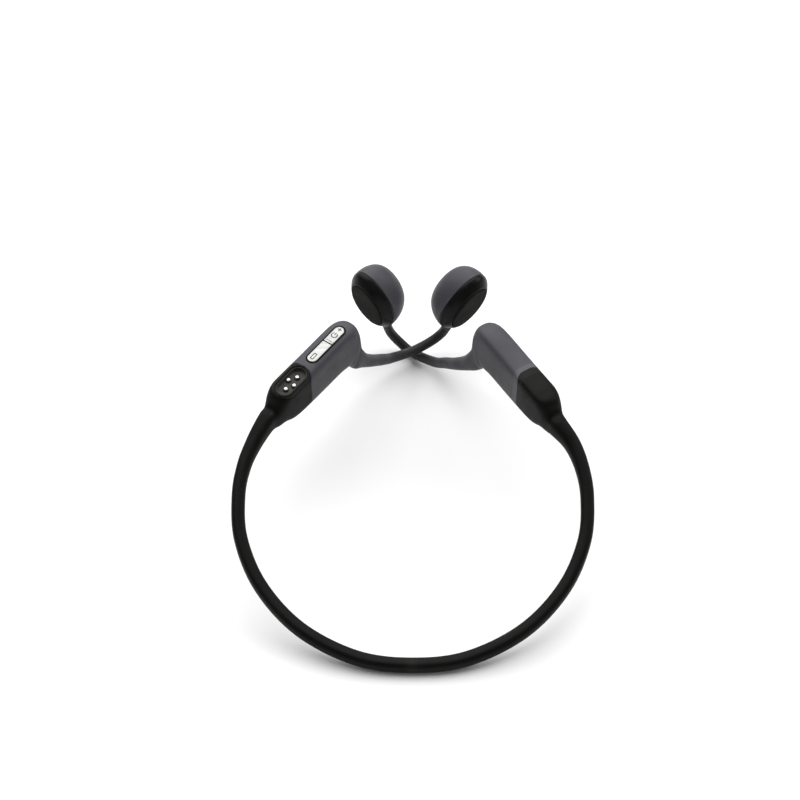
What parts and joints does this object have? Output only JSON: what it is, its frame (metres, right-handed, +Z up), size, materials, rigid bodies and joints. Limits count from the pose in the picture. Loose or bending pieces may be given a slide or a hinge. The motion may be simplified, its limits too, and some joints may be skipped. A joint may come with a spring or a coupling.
{
  "type": "bone conduction headphones",
  "caption": "Open-ear headphones: a sprung neckband joins two slim pods, and ear hooks carry egg-shaped transducers with flat contact pads; set down with the hooks crossed.",
  "frame": {"origin": "centre of the footprint, on the surface that the headphones lie on", "axes": "+X towards the wearer's left pod, +Y from the nape towards the transducers, +Z up as the object lies, which is down as it is worn"},
  "size_m": [0.1154, 0.1452, 0.0429],
  "materials": {
    "grey_silicone": "soft-touch dark grey silicone, satin",
    "black_silicone": "smooth black silicone, satin",
    "black_trim": "black moulded plastic, half gloss",
    "pad_silicone": "matt black soft pad",
    "case_plastic": "dark moulded plastic",
    "dish_plastic": "dark grey moulded plastic",
    "key_metal": "bright satin metal",
    "pin_plating": "bright plated contact",
    "spring_metal": "drawn spring alloy",
    "cable_jacket": "thin cable jacket",
    "magnet_steel": "nickel plated steel",
    "coil_copper": "enamelled winding",
    "circuit_board": "solder mask",
    "chip_epoxy": "moulded epoxy",
    "cell_foil": "foil pouch"
  },
  "bodies": {
    "left_half": {"battery": "cell_foil", "function_switch": "chip_epoxy", "left_contact_pad": "pad_silicone", "left_drive_plate": "magnet_steel", "left_hook_cable": "cable_jacket", "left_hook_wire": "spring_metal", "left_magnet": "magnet_steel", "left_nape_skin": "black_silicone", "left_neckband_skin": "black_silicone", "left_pod_case": "case_plastic", "left_pod_skin": "grey_silicone", "left_spring_plate": "spring_metal", "left_transducer_bezel": "black_trim", "left_transducer_shell": "grey_silicone", "left_voice_coil": "coil_copper", "left_yoke": "magnet_steel", "neckband_cable": "cable_jacket", "neckband_wire": "spring_metal", "protection_board": "circuit_board"},
    "nape_flex": {"right_nape_skin": "black_silicone"},
    "right_half": {"amplifier_chip": "chip_epoxy", "charge_board": "circuit_board", "charge_dish": "dish_plastic", "charge_magnet": "magnet_steel", "charge_pin_1": "pin_plating", "charge_pin_2": "pin_plating", "charge_pin_3": "pin_plating", "charge_pin_4": "pin_plating", "key_bezel": "black_trim", "key_board": "circuit_board", "key_minus_switch": "chip_epoxy", "key_plus_switch": "chip_epoxy", "main_board": "circuit_board", "radio_chip": "chip_epoxy", "right_contact_pad": "pad_silicone", "right_drive_plate": "magnet_steel", "right_hook_cable": "cable_jacket", "right_hook_wire": "spring_metal", "right_magnet": "magnet_steel", "right_neckband_skin": "black_silicone", "right_pod_case": "case_plastic", "right_pod_skin": "grey_silicone", "right_spring_plate": "spring_metal", "right_transducer_bezel": "black_trim", "right_transducer_shell": "grey_silicone", "right_voice_coil": "coil_copper", "right_yoke": "magnet_steel"},
    "plus_key": {"key_plus": "key_metal"},
    "minus_key": {"key_minus": "key_metal"},
    "function_key_body": {"function_key": "grey_silicone"}
  },
  "joints": [
    {"name": "neckband_lift", "type": "hinge", "parent": "left_half", "child": "nape_flex", "pos_m": [0, -0.07047, 0.00232], "axis": [1, 0, 0], "range_deg": [0, 30], "stiffness_Nm_per_rad": 0.12, "deforming": ["left_nape_skin", "right_nape_skin", "neckband_wire", "neckband_cable"]},
    {"name": "neckband_spread", "type": "hinge", "parent": "nape_flex", "child": "right_half", "pos_m": [0, -0.07047, 0.00232], "axis": [0, 0, 1], "range_deg": [0, 3.5], "stiffness_Nm_per_rad": 0.3, "deforming": ["left_nape_skin", "right_nape_skin", "neckband_wire", "neckband_cable"]},
    {"name": "plus_key_press", "type": "slide", "parent": "right_half", "child": "plus_key", "axis": [0.0312, 0.042, -0.9986], "range_m": [0, 0.0004], "stiffness_N_per_m": 1500, "springref_m": -0.0003},
    {"name": "minus_key_press", "type": "slide", "parent": "right_half", "child": "minus_key", "axis": [0.0312, 0.042, -0.9986], "range_m": [0, 0.0004], "stiffness_N_per_m": 1500, "springref_m": -0.0003},
    {"name": "function_key_press", "type": "slide", "parent": "left_half", "child": "function_key_body", "axis": [-0.6571, -0.7345, -0.1696], "range_m": [0, 0.0004], "stiffness_N_per_m": 1500, "springref_m": -0.0003}
  ]
}
